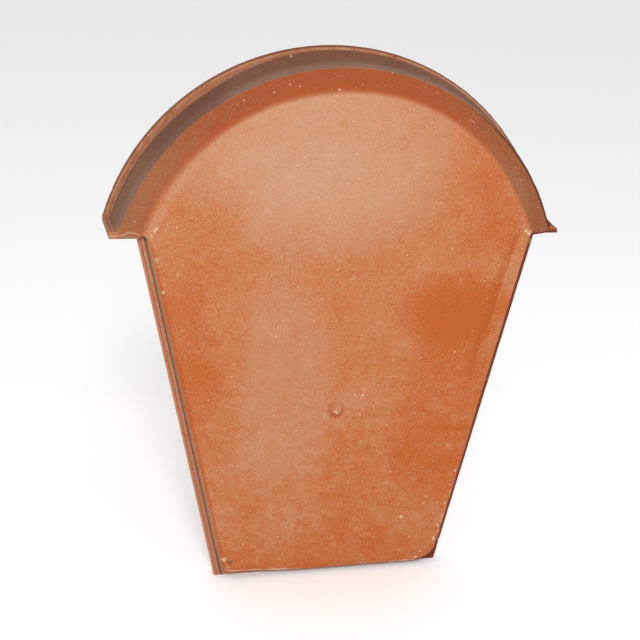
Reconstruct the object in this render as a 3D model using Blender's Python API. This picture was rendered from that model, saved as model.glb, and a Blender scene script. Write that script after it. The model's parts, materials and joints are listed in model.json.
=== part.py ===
"""Verge end tile: the pressed terracotta tile that closes the gable end of a rounded roof ridge.

The tile is one fired piece. A flat panel hangs in front. Over its top runs an arch: a sloping band falls
back from the panel to a crease, and from the crease a collar wall runs back over the ridge and ends in a
narrow outward lip. A small ledge carries that lip round the collar's feet, the shoulders, the tapering
sides and the foot. Behind the panel the collar is open, so that it slips over the end of the ridge.

Lengths are metres, +Z is up and the tile faces -Y. The origin is on the flat back of the panel, straight
behind the nail mark. Depths are measured back from the panel's face, heights up from the shoulder line.
"""

import math

import bmesh
import bpy

# Arch and collar
CREASE_RADIUS = 0.1515       # circle of the sharp crease between sloping band and collar wall
ARCH_CENTRE_DROP = 0.044     # the arch's centre lies this far below the shoulder line
BAND_WIDTH = 0.0155          # sloping band between panel and crease, seen from the front
BAND_DEPTH = 0.0087          # how far the band falls back
COLLAR_DEPTH = 0.0395        # collar wall, from the crease back to the lip
COLLAR_FLARE = 0.0055        # how much wider the collar's radius is at the lip than at the crease
COLLAR_WALL = 0.0115         # thickness of the collar at the crease
LIP_WIDTH = 0.0035           # outward lip at the back of the collar
LIP_SLOPE = 0.0035           # how far the lip's face leans back over its width
LIP_THICKNESS = 0.003        # flat rim of the lip, front to back

# Panel and ledge
PANEL_DROP = 0.2515          # from the shoulder line down to the foot
FOOT_WIDTH = 0.165           # width across the foot
PLATE_THICKNESS = 0.0143     # panel face to flat back
LEDGE_DEPTH = 0.008          # the ledge lies this far behind the panel's face
LEDGE_WIDTH = 0.0044         # ledge beside the panel
LEDGE_FOOT = 0.0018          # ledge below the panel
EDGE_WIDTH = 0.0041          # soft edge of the panel, seen from the front
EDGE_DEPTH = 0.003           # first, flatter part of the soft edge
FOOT_CORNER = 0.010          # rounding of the panel's two lower corners

# Shoulders
SHELF_HEIGHT = 0.0046        # ledge under each foot of the collar
SHELF_OVERHANG = 0.005       # how far that ledge stands out past the crease

# Nail mark
NAIL_MARK_DROP = 0.122       # below the shoulder line, on the middle of the panel
DIMPLE_WIDTH = 0.0125
DIMPLE_DEPTH = 0.0009
PIP_WIDTH = 0.0054
PIP_RISE = 0.0012            # the pip stands this far proud of the panel

# Construction
LAP = 0.0005                 # solids that join run into each other by this much
OVERRUN = 0.004              # blanks and cutters run past the finished face by this much
ARCH_STEPS = 64              # flats round the arch
CORNER_STEPS = 6             # flats round a lower corner
DIMPLE_STEPS = 6             # flats from the middle of the dimple or pip to its rim
TURN_STEPS = 32              # flats round the dimple or pip
TERRACOTTA = (0.52, 0.165, 0.068, 1.0)
ROUGHNESS = 0.72

# Worked out from the sizes above
PANEL_RADIUS = CREASE_RADIUS - BAND_WIDTH
HOLLOW_RADIUS = CREASE_RADIUS - COLLAR_WALL
WALL_END_RADIUS = CREASE_RADIUS + COLLAR_FLARE
LIP_RADIUS = WALL_END_RADIUS + LIP_WIDTH
WALL_END_DEPTH = BAND_DEPTH + COLLAR_DEPTH
LIP_DEPTH = WALL_END_DEPTH + LIP_SLOPE
BACK_DEPTH = LIP_DEPTH + LIP_THICKNESS


def arch_x(radius, height):
    """Half width of an arch circle at a height over the shoulder line."""
    return math.sqrt(radius ** 2 - (ARCH_CENTRE_DROP + height) ** 2)


SIDE_TOP = arch_x(HOLLOW_RADIUS, 0.0)          # the sides start where the collar's inner face ends
SIDE_LEAN = math.atan((SIDE_TOP - FOOT_WIDTH / 2) / PANEL_DROP)
BODY_SHOULDER = SHELF_HEIGHT - LAP             # the body's underside sinks into the ledge
TIP_FRONT = arch_x(CREASE_RADIUS, 0.0) + SHELF_OVERHANG
TIP_BACK = arch_x(LIP_RADIUS, BODY_SHOULDER) + LAP / 2
SAFE_ANGLE = math.asin((ARCH_CENTRE_DROP + SHELF_HEIGHT) / PANEL_RADIUS) + math.radians(2.0)


def place(x, depth, height):
    """World position of a point, from its depth and height on the tile."""
    return (x, depth - PLATE_THICKNESS, height + NAIL_MARK_DROP)


def mirrored(half):
    """A right half outline from the top middle down to the foot, with its mirror image."""
    return half + [(-x, height) for x, height in reversed(half) if x > 0.0]


def side_x(height):
    """Half width of the tapering lower part at a height below the shoulder line."""
    return SIDE_TOP + math.tan(SIDE_LEAN) * height


def body_outline(radius, side_inset, foot_inset, corner):
    """Outline of the tile's body: arch, short shoulder, tapering side and rounded lower corner."""
    half = []
    for step in range(ARCH_STEPS // 2 + 1):
        angle = math.pi / 2 + (SAFE_ANGLE - math.pi / 2) * step / (ARCH_STEPS // 2)
        x = 0.0 if step == 0 else radius * math.cos(angle)
        half.append((x, radius * math.sin(angle) - ARCH_CENTRE_DROP))
    half.append((arch_x(radius, BODY_SHOULDER), BODY_SHOULDER))
    half.append((side_x(BODY_SHOULDER) - side_inset / math.cos(SIDE_LEAN), BODY_SHOULDER))
    centre_height = -PANEL_DROP + foot_inset + corner
    centre_x = side_x(centre_height) - (side_inset + corner) / math.cos(SIDE_LEAN)
    for step in range(CORNER_STEPS + 1):
        angle = -SIDE_LEAN + (SIDE_LEAN - math.pi / 2) * step / CORNER_STEPS
        half.append((centre_x + corner * math.cos(angle), centre_height + corner * math.sin(angle)))
    return mirrored(half)


def ledge_outline(tip):
    """Outline of the ledge: the tapering plate with a shelf under each foot of the collar."""
    right = [(tip, SHELF_HEIGHT), (tip, 0.0), (SIDE_TOP, 0.0), (FOOT_WIDTH / 2, -PANEL_DROP)]
    return mirrored(right)


def hollow_outline():
    """Outline of the open back: the room inside the collar, and everything below the shoulders."""
    start = math.asin(ARCH_CENTRE_DROP / HOLLOW_RADIUS)
    half = []
    for step in range(ARCH_STEPS // 2):
        angle = math.pi / 2 + (start - math.pi / 2) * step / (ARCH_STEPS // 2)
        x = 0.0 if step == 0 else HOLLOW_RADIUS * math.cos(angle)
        half.append((x, HOLLOW_RADIUS * math.sin(angle) - ARCH_CENTRE_DROP))
    outside = TIP_BACK + OVERRUN
    half += [(SIDE_TOP, 0.0), (outside, 0.0), (outside, -PANEL_DROP - OVERRUN)]
    return mirrored(half)


def new_object(name, build, collection):
    """An object whose mesh is filled by a function that works on a bmesh."""
    bm = bmesh.new()
    build(bm)
    bmesh.ops.recalc_face_normals(bm, faces=bm.faces)
    mesh = bpy.data.meshes.new(name)
    bm.to_mesh(mesh)
    bm.free()
    piece = bpy.data.objects.new(name, mesh)
    collection.objects.link(piece)
    return piece


def loft(name, sections, collection):
    """A solid through sections, each a depth and an outline with the same number of points."""
    def build(bm):
        rings = []
        for depth, outline in sections:
            verts = [bm.verts.new(place(x, depth, height)) for x, height in outline]
            rings.append([bm.edges.new((a, b)) for a, b in zip(verts, verts[1:] + verts[:1])])
        for front, back in zip(rings, rings[1:]):
            bmesh.ops.bridge_loops(bm, edges=front + back)
        for ring in (rings[0], rings[-1]):
            bmesh.ops.edgeloop_fill(bm, edges=ring)
    return new_object(name, build, collection)


def turned(name, profile, collection):
    """A solid turned round the nail mark's axis, from radius and depth points that end on the axis."""
    def build(bm):
        verts = [bm.verts.new(place(radius, depth, -NAIL_MARK_DROP)) for radius, depth in profile]
        edges = [bm.edges.new(pair) for pair in zip(verts, verts[1:])]
        bmesh.ops.spin(bm, geom=verts + edges, cent=(0.0, 0.0, 0.0), axis=(0.0, 1.0, 0.0),
                       angle=2.0 * math.pi, steps=TURN_STEPS, use_merge=True)
        bmesh.ops.remove_doubles(bm, verts=bm.verts, dist=0.00002)
    return new_object(name, build, collection)


def body(collection):
    """The solid body: panel, soft edge, sloping band, collar wall and lip."""
    band_share = EDGE_DEPTH / BAND_DEPTH
    tuck_depth = BAND_DEPTH + OVERRUN / 2
    tuck_radius = CREASE_RADIUS + COLLAR_FLARE * (tuck_depth - BAND_DEPTH) / COLLAR_DEPTH
    tuck = (2 * LEDGE_WIDTH, LEDGE_FOOT + LEDGE_WIDTH, FOOT_CORNER)
    sections = [
        (0.0, body_outline(PANEL_RADIUS, LEDGE_WIDTH + EDGE_WIDTH, LEDGE_FOOT + EDGE_WIDTH / 4,
                           FOOT_CORNER)),
        (EDGE_DEPTH, body_outline(PANEL_RADIUS + BAND_WIDTH * band_share, LEDGE_WIDTH + EDGE_WIDTH / 5,
                                  LEDGE_FOOT + EDGE_WIDTH / 10, FOOT_CORNER)),
        (BAND_DEPTH, body_outline(CREASE_RADIUS, LEDGE_WIDTH, LEDGE_FOOT, FOOT_CORNER)),
        (tuck_depth, body_outline(tuck_radius, *tuck)),
        (WALL_END_DEPTH, body_outline(WALL_END_RADIUS, *tuck)),
        (LIP_DEPTH, body_outline(LIP_RADIUS, *tuck)),
        (BACK_DEPTH + OVERRUN, body_outline(LIP_RADIUS, *tuck)),
    ]
    return loft("verge_end_tile", sections, collection)


def ledge(collection):
    """The ledge and the shelves, as one blank that runs the whole depth of the tile."""
    taper = (TIP_BACK - TIP_FRONT) / (LIP_DEPTH - LEDGE_DEPTH)
    end = BACK_DEPTH + OVERRUN
    sections = [
        (LEDGE_DEPTH, ledge_outline(TIP_FRONT)),
        (end, ledge_outline(TIP_FRONT + taper * (end - LEDGE_DEPTH))),
    ]
    return loft("ledge_blank", sections, collection)


def hollow(collection):
    """The cutter for the open back, from the plate's flat back outwards."""
    outline = hollow_outline()
    return loft("hollow_cutter", [(PLATE_THICKNESS, outline), (BACK_DEPTH + 2 * OVERRUN, outline)],
                collection)


def trim(collection):
    """The cutter that leaves the rim of the collar flat."""
    wide = TIP_BACK + OVERRUN
    high = LIP_RADIUS + OVERRUN
    box = [(wide, high), (wide, -PANEL_DROP - 2 * OVERRUN)]
    return loft("rim_cutter", [(BACK_DEPTH, mirrored(box)), (BACK_DEPTH + 3 * OVERRUN, mirrored(box))],
                collection)


def cap_profile(width, rise):
    """Radius and sag points of a shallow spherical cap, from its middle out to its rim."""
    half = width / 2
    sphere = (half ** 2 + rise ** 2) / (2 * rise)
    points = []
    for step in range(DIMPLE_STEPS + 1):
        radius = half * step / DIMPLE_STEPS
        points.append((radius, sphere - math.sqrt(sphere ** 2 - radius ** 2)))
    return points


def dimple(collection):
    """The cutter for the shallow dimple round the nail mark."""
    curve = [(radius, DIMPLE_DEPTH - sag) for radius, sag in cap_profile(DIMPLE_WIDTH, DIMPLE_DEPTH)]
    slope = curve[-1][0] - curve[-2][0], curve[-1][1] - curve[-2][1]
    rim = (curve[-1][0] + slope[0], curve[-1][1] + slope[1])
    return turned("dimple_cutter", curve + [rim, (rim[0], -OVERRUN), (0.0, -OVERRUN)], collection)


def pip(collection):
    """The raised pip in the middle of the dimple."""
    rise = PIP_RISE + DIMPLE_DEPTH
    curve = [(radius, sag - PIP_RISE) for radius, sag in cap_profile(PIP_WIDTH, rise)]
    foot = DIMPLE_DEPTH + LAP
    return turned("pip_blank", curve + [(PIP_WIDTH / 2, foot), (0.0, foot)], collection)


def join(piece, other, operation):
    """Joins or cuts a piece with another one, and keeps the other as a wire."""
    modifier = piece.modifiers.new(other.name, "BOOLEAN")
    modifier.operation = operation
    modifier.object = other
    modifier.solver = "EXACT"
    other.hide_render = True
    other.display_type = "WIRE"


def terracotta():
    """Unglazed fired clay."""
    material = bpy.data.materials.new("terracotta")
    material.use_nodes = True
    shader = material.node_tree.nodes["Principled BSDF"]
    shader.inputs["Base Color"].default_value = TERRACOTTA
    shader.inputs["Roughness"].default_value = ROUGHNESS
    shader.inputs["Metallic"].default_value = 0.0
    return material


def main():
    """Builds the tile."""
    for old in list(bpy.data.objects):
        bpy.data.objects.remove(old, do_unlink=True)
    parts = bpy.data.collections.new("verge end tile")
    cutters = bpy.data.collections.new("blanks and cutters")
    bpy.context.scene.collection.children.link(parts)
    bpy.context.scene.collection.children.link(cutters)

    tile = body(parts)
    join(tile, ledge(cutters), "UNION")
    join(tile, hollow(cutters), "DIFFERENCE")
    join(tile, trim(cutters), "DIFFERENCE")
    join(tile, dimple(cutters), "DIFFERENCE")
    join(tile, pip(cutters), "UNION")
    tile.data.materials.append(terracotta())


main()
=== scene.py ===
# %% [markdown]
# # A terracotta verge end tile
#
# This lesson dresses one roof tile: the pressed clay tile that closes the gable end of a rounded ridge.
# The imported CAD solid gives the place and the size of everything. The lesson makes a finer mesh of the same
# tile, with soft and worn edges, and paints it as unglazed fired clay.
#
# Lengths are metres, +Z is up and the tile faces -Y. A point on the tile is given by its `depth` behind the
# panel's face and by its `height` over the shoulder line, as in the tile's drawing.

# %% Load the fixed frame
import json
import math
from collections import namedtuple

import bmesh
import bpy
import numpy as np
from mathutils import Matrix, Vector, noise

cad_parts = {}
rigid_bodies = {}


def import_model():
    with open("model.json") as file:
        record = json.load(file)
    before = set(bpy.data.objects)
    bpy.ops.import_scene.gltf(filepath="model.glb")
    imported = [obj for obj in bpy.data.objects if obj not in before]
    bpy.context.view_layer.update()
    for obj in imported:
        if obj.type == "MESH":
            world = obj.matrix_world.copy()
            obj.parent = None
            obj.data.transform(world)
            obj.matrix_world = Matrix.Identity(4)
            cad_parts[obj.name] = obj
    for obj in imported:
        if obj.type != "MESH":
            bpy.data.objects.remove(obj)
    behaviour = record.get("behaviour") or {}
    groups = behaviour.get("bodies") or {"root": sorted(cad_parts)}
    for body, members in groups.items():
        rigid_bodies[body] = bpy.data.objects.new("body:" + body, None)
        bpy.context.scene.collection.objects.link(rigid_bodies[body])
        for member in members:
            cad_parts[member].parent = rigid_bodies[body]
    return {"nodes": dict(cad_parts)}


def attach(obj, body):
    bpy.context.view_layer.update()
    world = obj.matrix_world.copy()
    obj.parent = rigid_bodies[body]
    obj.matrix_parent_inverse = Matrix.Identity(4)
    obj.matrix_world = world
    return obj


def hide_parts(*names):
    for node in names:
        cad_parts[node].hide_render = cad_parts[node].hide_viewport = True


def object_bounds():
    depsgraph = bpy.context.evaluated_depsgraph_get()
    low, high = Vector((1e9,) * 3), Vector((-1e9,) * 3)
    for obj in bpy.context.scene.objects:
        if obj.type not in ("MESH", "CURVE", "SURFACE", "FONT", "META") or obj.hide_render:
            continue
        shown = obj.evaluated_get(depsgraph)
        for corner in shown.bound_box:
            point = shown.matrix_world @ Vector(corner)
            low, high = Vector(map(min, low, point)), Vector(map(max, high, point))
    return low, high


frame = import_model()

CAD_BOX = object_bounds()
TILE = "verge_end_tile"
print("node", list(frame["nodes"]), "box in mm", [[round(v * 1000, 1) for v in corner] for corner in CAD_BOX])

# %% [markdown]
# ## The tile's main lines
#
# Seen from the front the tile is an arch over a tapering panel. The arch is a circle whose centre lies below
# the shoulder line, and the sides are straight. Three small functions hold all of that, so every later step
# can ask for a half width at a height.

# %% Outline of the tile
MM = 0.001
NAIL_DROP = 122.0 * MM        # nail mark below the shoulder line
PLATE = 14.3 * MM             # panel face to flat back
ARCH_DROP = 44.0 * MM         # centre of the arch below the shoulder line
PANEL_DROP = 251.5 * MM       # foot below the shoulder line
HALF_FOOT = 82.5 * MM
CREASE_RADIUS = 151.5 * MM
HOLLOW_RADIUS = 140.0 * MM
LEDGE_DEPTH = 8.0 * MM
RIM_DEPTH = 54.7 * MM


def arch_x(radius, height):
    """Half width of an arch circle at a height."""
    return math.sqrt(radius ** 2 - (ARCH_DROP + height) ** 2)


SIDE_TOP = arch_x(HOLLOW_RADIUS, 0.0)
SIDE_SLOPE = (SIDE_TOP - HALF_FOOT) / PANEL_DROP
SIDE_STRETCH = math.hypot(1.0, SIDE_SLOPE)
SIDE_LEAN = math.atan(SIDE_SLOPE)


def side_x(height, inset=0.0):
    """Half width of the tapering part at a height, less an inset square to its side."""
    return SIDE_TOP + SIDE_SLOPE * height - inset * SIDE_STRETCH


def place(x, depth, height):
    """A point of the tile in the frame's own metres."""
    return Vector((x, depth - PLATE, height + NAIL_DROP))


print(f"sides lean {math.degrees(SIDE_LEAN):.1f} degrees, {SIDE_TOP * 2000:.1f} mm apart at the shoulders")

# %% [markdown]
# ## Rings round the tile
#
# The front of the tile can be covered with rings, like contour lines: small ones round the nail mark, then
# larger ones that take the shape of the panel, the sloping band, the collar wall and the lip. Rings suit this
# shape because every soft edge runs all the way round, and a ring can be laid exactly where an edge turns.
# First come helpers for the points of a ring and for a soft step from one form to another.

# %% Helpers for curves
def spaced(points, steps):
    """Points at even distances along a broken line, without its last one."""
    points = np.array(points)
    along = np.concatenate([[0.0], np.cumsum(np.linalg.norm(np.diff(points, axis=0), axis=1))])
    wanted = np.linspace(0.0, along[-1], steps + 1)[:-1]
    return [tuple(np.interp(wanted, along, column)[i] for column in points.T) for i in range(steps)]


def arc(radius, from_height, to_height):
    """Points of an arch circle, from a height (None for its top) down to another height."""
    first = math.pi / 2 if from_height is None else math.asin((ARCH_DROP + from_height) / radius)
    last = math.asin((ARCH_DROP + to_height) / radius)
    return [(radius * math.cos(a), radius * math.sin(a) - ARCH_DROP) for a in np.linspace(first, last, 65)]


def meeting_height(radius, inset):
    """Height where an arch circle meets the inset side line."""
    start = side_x(0.0, inset)
    a = 1.0 + SIDE_SLOPE ** 2
    b = 2.0 * (start * SIDE_SLOPE + ARCH_DROP)
    c = start ** 2 + ARCH_DROP ** 2 - radius ** 2
    return (-b + math.sqrt(b * b - 4.0 * a * c)) / (2.0 * a)


def ease(value, low, high):
    """A soft step from 0 at low to 1 at high."""
    t = np.clip((value - low) / (high - low), 0.0, 1.0)
    return t * t * (3.0 - 2.0 * t)


print("a soft step after a quarter of its way:", ease(0.25, 0.0, 1.0))

# %% [markdown]
# ## What differs between left and right
#
# Hand pressing and trimming left the two halves unlike each other. On the left the foot of the collar flares
# out over a small vault, and the lower corner is nearly square. On the right the band runs right down to the
# underside, and the corner is round. A `Hand` holds what differs: which way x goes, the corner's radius, how
# far the foot's edge rises towards it, the height of the notch, the rise of its vault, the flare, and the
# height in front and at the back of the shelf, the flat piece under the collar's foot.

# %% Left and right
Hand = namedtuple("Hand", "sign corner foot_lift notch vault flare shelf")
LEFT = Hand(-1.0, 3.5 * MM, 2.3 * MM, 1.5 * MM, 2.9 * MM, 3.0 * MM, (4.6 * MM, 4.6 * MM))
RIGHT = Hand(1.0, 18.5 * MM, 0.0, 0.9 * MM, 0.0, 2.7 * MM, (3.5 * MM, 3.2 * MM))
LIP_RADIUS = 160.5 * MM
LIP_DEPTH = 51.7 * MM         # where the lip is that wide
SHELF_REACH = 5.0 * MM        # the shelf's tip in front, beyond the crease
TIP_FRONT = arch_x(CREASE_RADIUS, 0.0) + SHELF_REACH
TIP_BACK = arch_x(LIP_RADIUS, 4.1 * MM) + 0.25 * MM


def tip_x(depth):
    """How far the shelf under the collar's foot reaches out, at a depth."""
    return TIP_FRONT + (TIP_BACK - TIP_FRONT) * (depth - LEDGE_DEPTH) / (LIP_DEPTH - LEDGE_DEPTH)


print(f"the tips are {TIP_FRONT * 2000:.1f} mm apart in front, {TIP_BACK * 2000:.1f} mm at the back")

# %% [markdown]
# ## One ring round the tile
#
# A ring is drawn as two halves. Each has an arch, a short notch at the shoulder, a side, a rounded lower
# corner and half a foot. Rings that lie on the panel's face meet at the shoulder without a notch, because the
# notch begins only where the edge falls back. The first function gives those lines, the second their points.

# %% Draw a ring
ARCH_STEPS, NOTCH_STEPS, SIDE_STEPS, CORNER_STEPS, FOOT_STEPS = 128, 8, 112, 10, 34
NOTCH_REACH = 2.5 * MM        # a ring without a notch is rounded so far above and below its meeting point
FLARE_HEIGHT = 11.0 * MM      # the foot of the collar begins to flare this far above its notch
VAULT_START = 0.25            # share of the notch before the vault begins
LIFT_X, LIFT_HEIGHTS = (15.0 * MM, 66.0 * MM), (-218.0 * MM, -243.0 * MM)   # where the foot's edge rises
BOX_GAP = 0.15 * MM           # room kept inside the tips


def half_lines(hand, radius, inset, foot_inset, notched, wander):
    """The lines of half a ring: arch, notch, side, corner and foot."""
    if notched:
        arch_end = side_start = hand.notch
        notch = [(arch_x(radius, hand.notch), hand.notch), (side_x(hand.notch, inset), hand.notch)]
    else:
        meeting = meeting_height(radius, inset + wander(0.0))
        arch_end, side_start = meeting + NOTCH_REACH, meeting - NOTCH_REACH
        notch = arc(radius, arch_end, meeting)
        notch.append((side_x(side_start, inset + wander(side_start)), side_start))
    low = -PANEL_DROP + foot_inset + hand.corner
    centre = side_x(low, inset + wander(low)) - hand.corner * SIDE_STRETCH
    corner = [(centre + hand.corner * math.cos(a), low + hand.corner * math.sin(a))
              for a in np.linspace(-SIDE_LEAN, -math.pi / 2, 17)]
    heights = np.linspace(side_start, corner[0][1], 40)[:-1]
    side = [(side_x(h, inset + wander(h)), h) for h in heights] + [corner[0]]
    foot = [corner[-1], (0.0, -PANEL_DROP + foot_inset)]
    return arc(radius, None, arch_end), notch, side, corner, foot


def half_ring(hand, radius, depth, inset, side_depth, foot_inset, foot_depth, notched, flare, wander):
    """Half of a ring, from the top middle to the foot's middle. `wander` gives an extra inset by height."""
    arch, notch, side, corner, foot = half_lines(hand, radius, inset, foot_inset, notched, wander)
    half = []
    for x, h in spaced(arch, ARCH_STEPS):
        half.append((x + flare * float(ease(h, hand.notch + FLARE_HEIGHT, hand.notch)), depth, h))
    for step, (x, h) in enumerate(spaced(notch, NOTCH_STEPS)):
        t = step / NOTCH_STEPS
        arching = math.sin(math.pi * max(0.0, t - VAULT_START) / (1.0 - VAULT_START))
        rise = hand.vault * arching if notched else 0.0
        half.append((x + flare * (1.0 - t), depth + (side_depth - depth) * t, h + rise))
    half += [(x, side_depth, h) for x, h in spaced(side, SIDE_STEPS)]
    for step, (x, h) in enumerate(spaced(corner, CORNER_STEPS)):
        half.append((x, side_depth + (foot_depth - side_depth) * step / CORNER_STEPS, h))
    half += [(x, foot_depth, h) for x, h in spaced(foot, FOOT_STEPS)]
    half.append((0.0, foot_depth, -PANEL_DROP + foot_inset))
    half[0] = (0.0,) + half[0][1:]
    reach = tip_x(max(depth, LEDGE_DEPTH)) - BOX_GAP
    points = []
    for x, point_depth, height in half:
        rise = ease(x, *LIFT_X) * ease(height, *LIFT_HEIGHTS) * hand.foot_lift
        points.append((min(x, reach) * hand.sign, point_depth, height + float(rise)))
    return points


def ring(radius, depth, foot_inset, foot_depth, left, right, notched, flare=0.0, wander=None):
    """A closed ring of points round the tile. `left` and `right` are the inset and the depth at the sides."""
    halves = [half_ring(hand, radius, depth, *side, foot_inset, foot_depth, notched, hand.flare * flare,
                        wander if wander and hand is RIGHT else lambda height: 0.0)
              for hand, side in ((RIGHT, right), (LEFT, left))]
    return [place(*point) for point in halves[0] + halves[1][-2:0:-1]]


print(ARCH_STEPS + NOTCH_STEPS + SIDE_STEPS + CORNER_STEPS + FOOT_STEPS, "points in half a ring")

# %% [markdown]
# ## The profile from the panel's edge to the lip
#
# The panel is pressed flat, and near its sides it falls away softly, first by a few tenths of a millimetre
# and then over a rounded edge. Over the arch the edge is a straight sloping band that ends in a sharp crease.
# Behind the crease the collar wall flares a little and turns out into the lip, whose face carries a fine
# ridge left by the press.
#
# The table below is the profile of the edge. Each row is one ring: radius and depth over the arch, inset
# and depth at the foot, then inset and depth at the left side and at the right side, all in millimetres. The
# right edge is sharper and stands nearer the outline, so that hardly any ledge is left beside it.

# %% Profile of the edge, the wall and the lip
EDGE = [
    (126.0, 0.0, 16.0, 0.0, 24.0, 0.0, 3.4, 0.0), (131.5, 0.0, 11.0, 0.0, 18.6, 0.0, 11.2, 0.02),
    (134.0, 0.04, 8.6, 0.02, 16.6, 0.02, 10.6, 0.06), (135.4, 0.16, 7.2, 0.16, 15.0, 0.14, 9.9, 0.1),
    (136.4, 0.46, 6.2, 0.36, 13.2, 0.27, 8.9, 0.14), (137.6, 1.02, 5.3, 0.55, 11.2, 0.42, 7.7, 0.2),
    (139.4, 2.0, 4.5, 0.8, 9.5, 0.62, 6.4, 0.3), (141.8, 3.32, 3.8, 1.3, 8.2, 0.92, 5.2, 0.5),
    (144.3, 4.7, 3.2, 2.0, 7.2, 1.4, 4.4, 0.8), (146.8, 6.1, 2.8, 2.95, 6.5, 2.05, 3.9, 1.35),
    (149.0, 7.33, 2.4, 4.1, 5.95, 3.1, 3.6, 2.3), (150.4, 8.1, 2.1, 5.4, 5.5, 4.6, 3.4, 3.6),
    (151.1, 8.52, 1.9, 6.7, 5.25, 6.4, 3.3, 5.4), (151.45, 8.85, 1.8, 7.7, 5.1, 7.9, 3.2, 7.4),
    (151.56, 9.3, 1.8, 9.3, 5.0, 9.3, 3.2, 9.3),
]
FIRST_NOTCHED = 7             # row of the table where the notch begins
FLARE_START, FLARE_SPAN = 139.4, 12.1       # radius where the foot of the collar begins to flare
CREASE, WALL_STEPS = EDGE[-1][:2], 18       # the crease's radius and depth
WALL = [(CREASE[0] + 5.84 * step / WALL_STEPS, CREASE[1] + 37.2 * step / WALL_STEPS)
        for step in range(1, WALL_STEPS + 1)]
FLARE_END = 46.0              # depth where the flare has died out
LIP = [
    (157.48, 47.2), (157.56, 47.75), (157.72, 48.2), (157.96, 48.6), (158.24, 49.0), (158.52, 49.45),
    (158.78, 49.95), (158.98, 50.35), (159.2, 50.15), (159.6, 50.35), (160.0, 50.85), (160.3, 51.35),
    (160.45, 51.85), (160.5, 52.4), (160.5, 53.3), (160.4, 54.1), (160.1, 54.55), (159.6, 54.7),
]
TUCK = (7.6 * MM, 5.6 * MM)   # insets at the side and foot of the rings that the ledge covers
print(len(EDGE), "rows for the edge,", len(WALL), "for the wall,", len(LIP), "for the lip")

# %% [markdown]
# ## The trimming line, and all the front rings
#
# A trimming line runs down inside the right edge. It wanders, so the first row and seven more rings wander
# with it, and the shallow groove can be pressed into them later. Their right insets are taken from that line.

# %% Rings from the panel's edge to the rim
GROOVE_LINE = [(-251.0, 15.6), (-150.0, 16.4), (-107.0, 17.1), (-83.0, 18.2), (-58.0, 16.1), (-31.0, 14.8),
               (-21.0, 15.2), (0.0, 13.4)]   # height and inset in millimetres
GROOVE_STEPS = [1.7, 1.0, 0.5, 0.0, -0.5, -1.0, -1.7]


def groove_inset(height):
    """How far the trimming line lies inside the right side, at a height."""
    heights, insets = zip(*GROOVE_LINE)
    return float(np.interp(height / MM, heights, insets)) * MM


def groove_ring(step, offset):
    """One of the rings along the trimming line, between the first two rows of the table."""
    left = ((23.3 - 0.7 * step) * MM, 0.0)
    return ring((126.7 + 0.65 * step) * MM, 0.0, (15.4 - 0.6 * step) * MM, 0.0, left, (offset * MM, 0.0),
                False, wander=groove_inset)


front_rings = []
for row, values in enumerate(EDGE):
    radius, depth, foot_inset, foot_depth, *sides = (value * MM for value in values)
    flare = max(0.0, (values[0] - FLARE_START) / FLARE_SPAN)
    front_rings.append(ring(radius, depth, foot_inset, foot_depth, sides[:2], sides[2:], row >= FIRST_NOTCHED,
                            flare, groove_inset if row == 0 else None))
    if row == 0:
        front_rings += [groove_ring(step, offset) for step, offset in enumerate(GROOVE_STEPS)]
hidden_depths = np.linspace(CREASE[1], LIP[-1][1], len(WALL + LIP) + 1)[1:]
for (radius, depth), hidden_depth in zip(WALL + LIP, hidden_depths):
    hidden = (TUCK[0], hidden_depth * MM)
    flare = 1.0 - float(ease(depth, CREASE[1], FLARE_END))
    front_rings.append(ring(radius * MM, depth * MM, TUCK[1], hidden_depth * MM, hidden, hidden, True, flare))
print(len(front_rings), "rings from the panel's edge to the rim")

# %% [markdown]
# ## The rings of the panel and the nail mark
#
# Inside the panel's edge the rings shrink to a circle round the nail mark: a raised pip in a shallow dimple,
# left by the pin of the press. The rings between are plain blends of the two shapes.

# %% Rings of the panel
PANEL_STEPS = 54
PIP_RISE = 1.2 * MM
DIMPLE = [   # radius and depth of the pip and the dimple, from the middle outwards
    (0.5, -1.19), (1.0, -1.14), (1.6, -1.02), (2.2, -0.82), (2.75, -0.54), (3.2, -0.18), (3.55, 0.2),
    (3.85, 0.52), (4.15, 0.74), (4.5, 0.84), (4.95, 0.8), (5.5, 0.64), (6.1, 0.42), (6.7, 0.22), (7.4, 0.08),
    (8.4, 0.0),
]
nail = place(0.0, 0.0, -NAIL_DROP)
outer = front_rings[0]
matched = np.unwrap([math.atan2((point - nail).z, (point - nail).x) for point in outer])
even = math.pi / 2 - np.arange(len(outer)) * 2.0 * math.pi / len(outer)
directions = [Vector((math.cos(a), 0.0, math.sin(a))) for a in (matched + 2.0 * even) / 3.0]
nail_rings = [[nail + way * (radius * MM) + Vector((0.0, depth * MM, 0.0)) for way in directions]
              for radius, depth in DIMPLE]
panel_rings = [[start.lerp(end, step / PANEL_STEPS) for start, end in zip(nail_rings[-1], outer)]
               for step in range(1, PANEL_STEPS)]
rings = nail_rings + panel_rings + front_rings
print(len(rings), "rings in all,", len(rings) * len(outer), "points")

# %% [markdown]
# ## Wrap a sheet round the tile
#
# The rings could be bridged one after the other, but rings that lie in one plane are easily joined crosswise.
# A sheet is surer. It is an ordinary grid whose rows become the rings and whose columns run from the nail
# mark to the rim, as if a sheet of clay were wrapped round the tile. Its two ends meet in a seam, and its
# first row shrinks to a point, so one merge by distance closes both. The last ring gets a flat face.

# %% Make the body
MERGE = 4e-7                  # points closer than this, in metres, become one


def finished(bm, name):
    """An object from a bmesh, with its normals facing outwards."""
    bmesh.ops.recalc_face_normals(bm, faces=bm.faces)
    mesh = bpy.data.meshes.new(name)
    bm.to_mesh(mesh)
    bm.free()
    piece = bpy.data.objects.new(name, mesh)
    bpy.context.scene.collection.objects.link(piece)
    return piece


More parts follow.
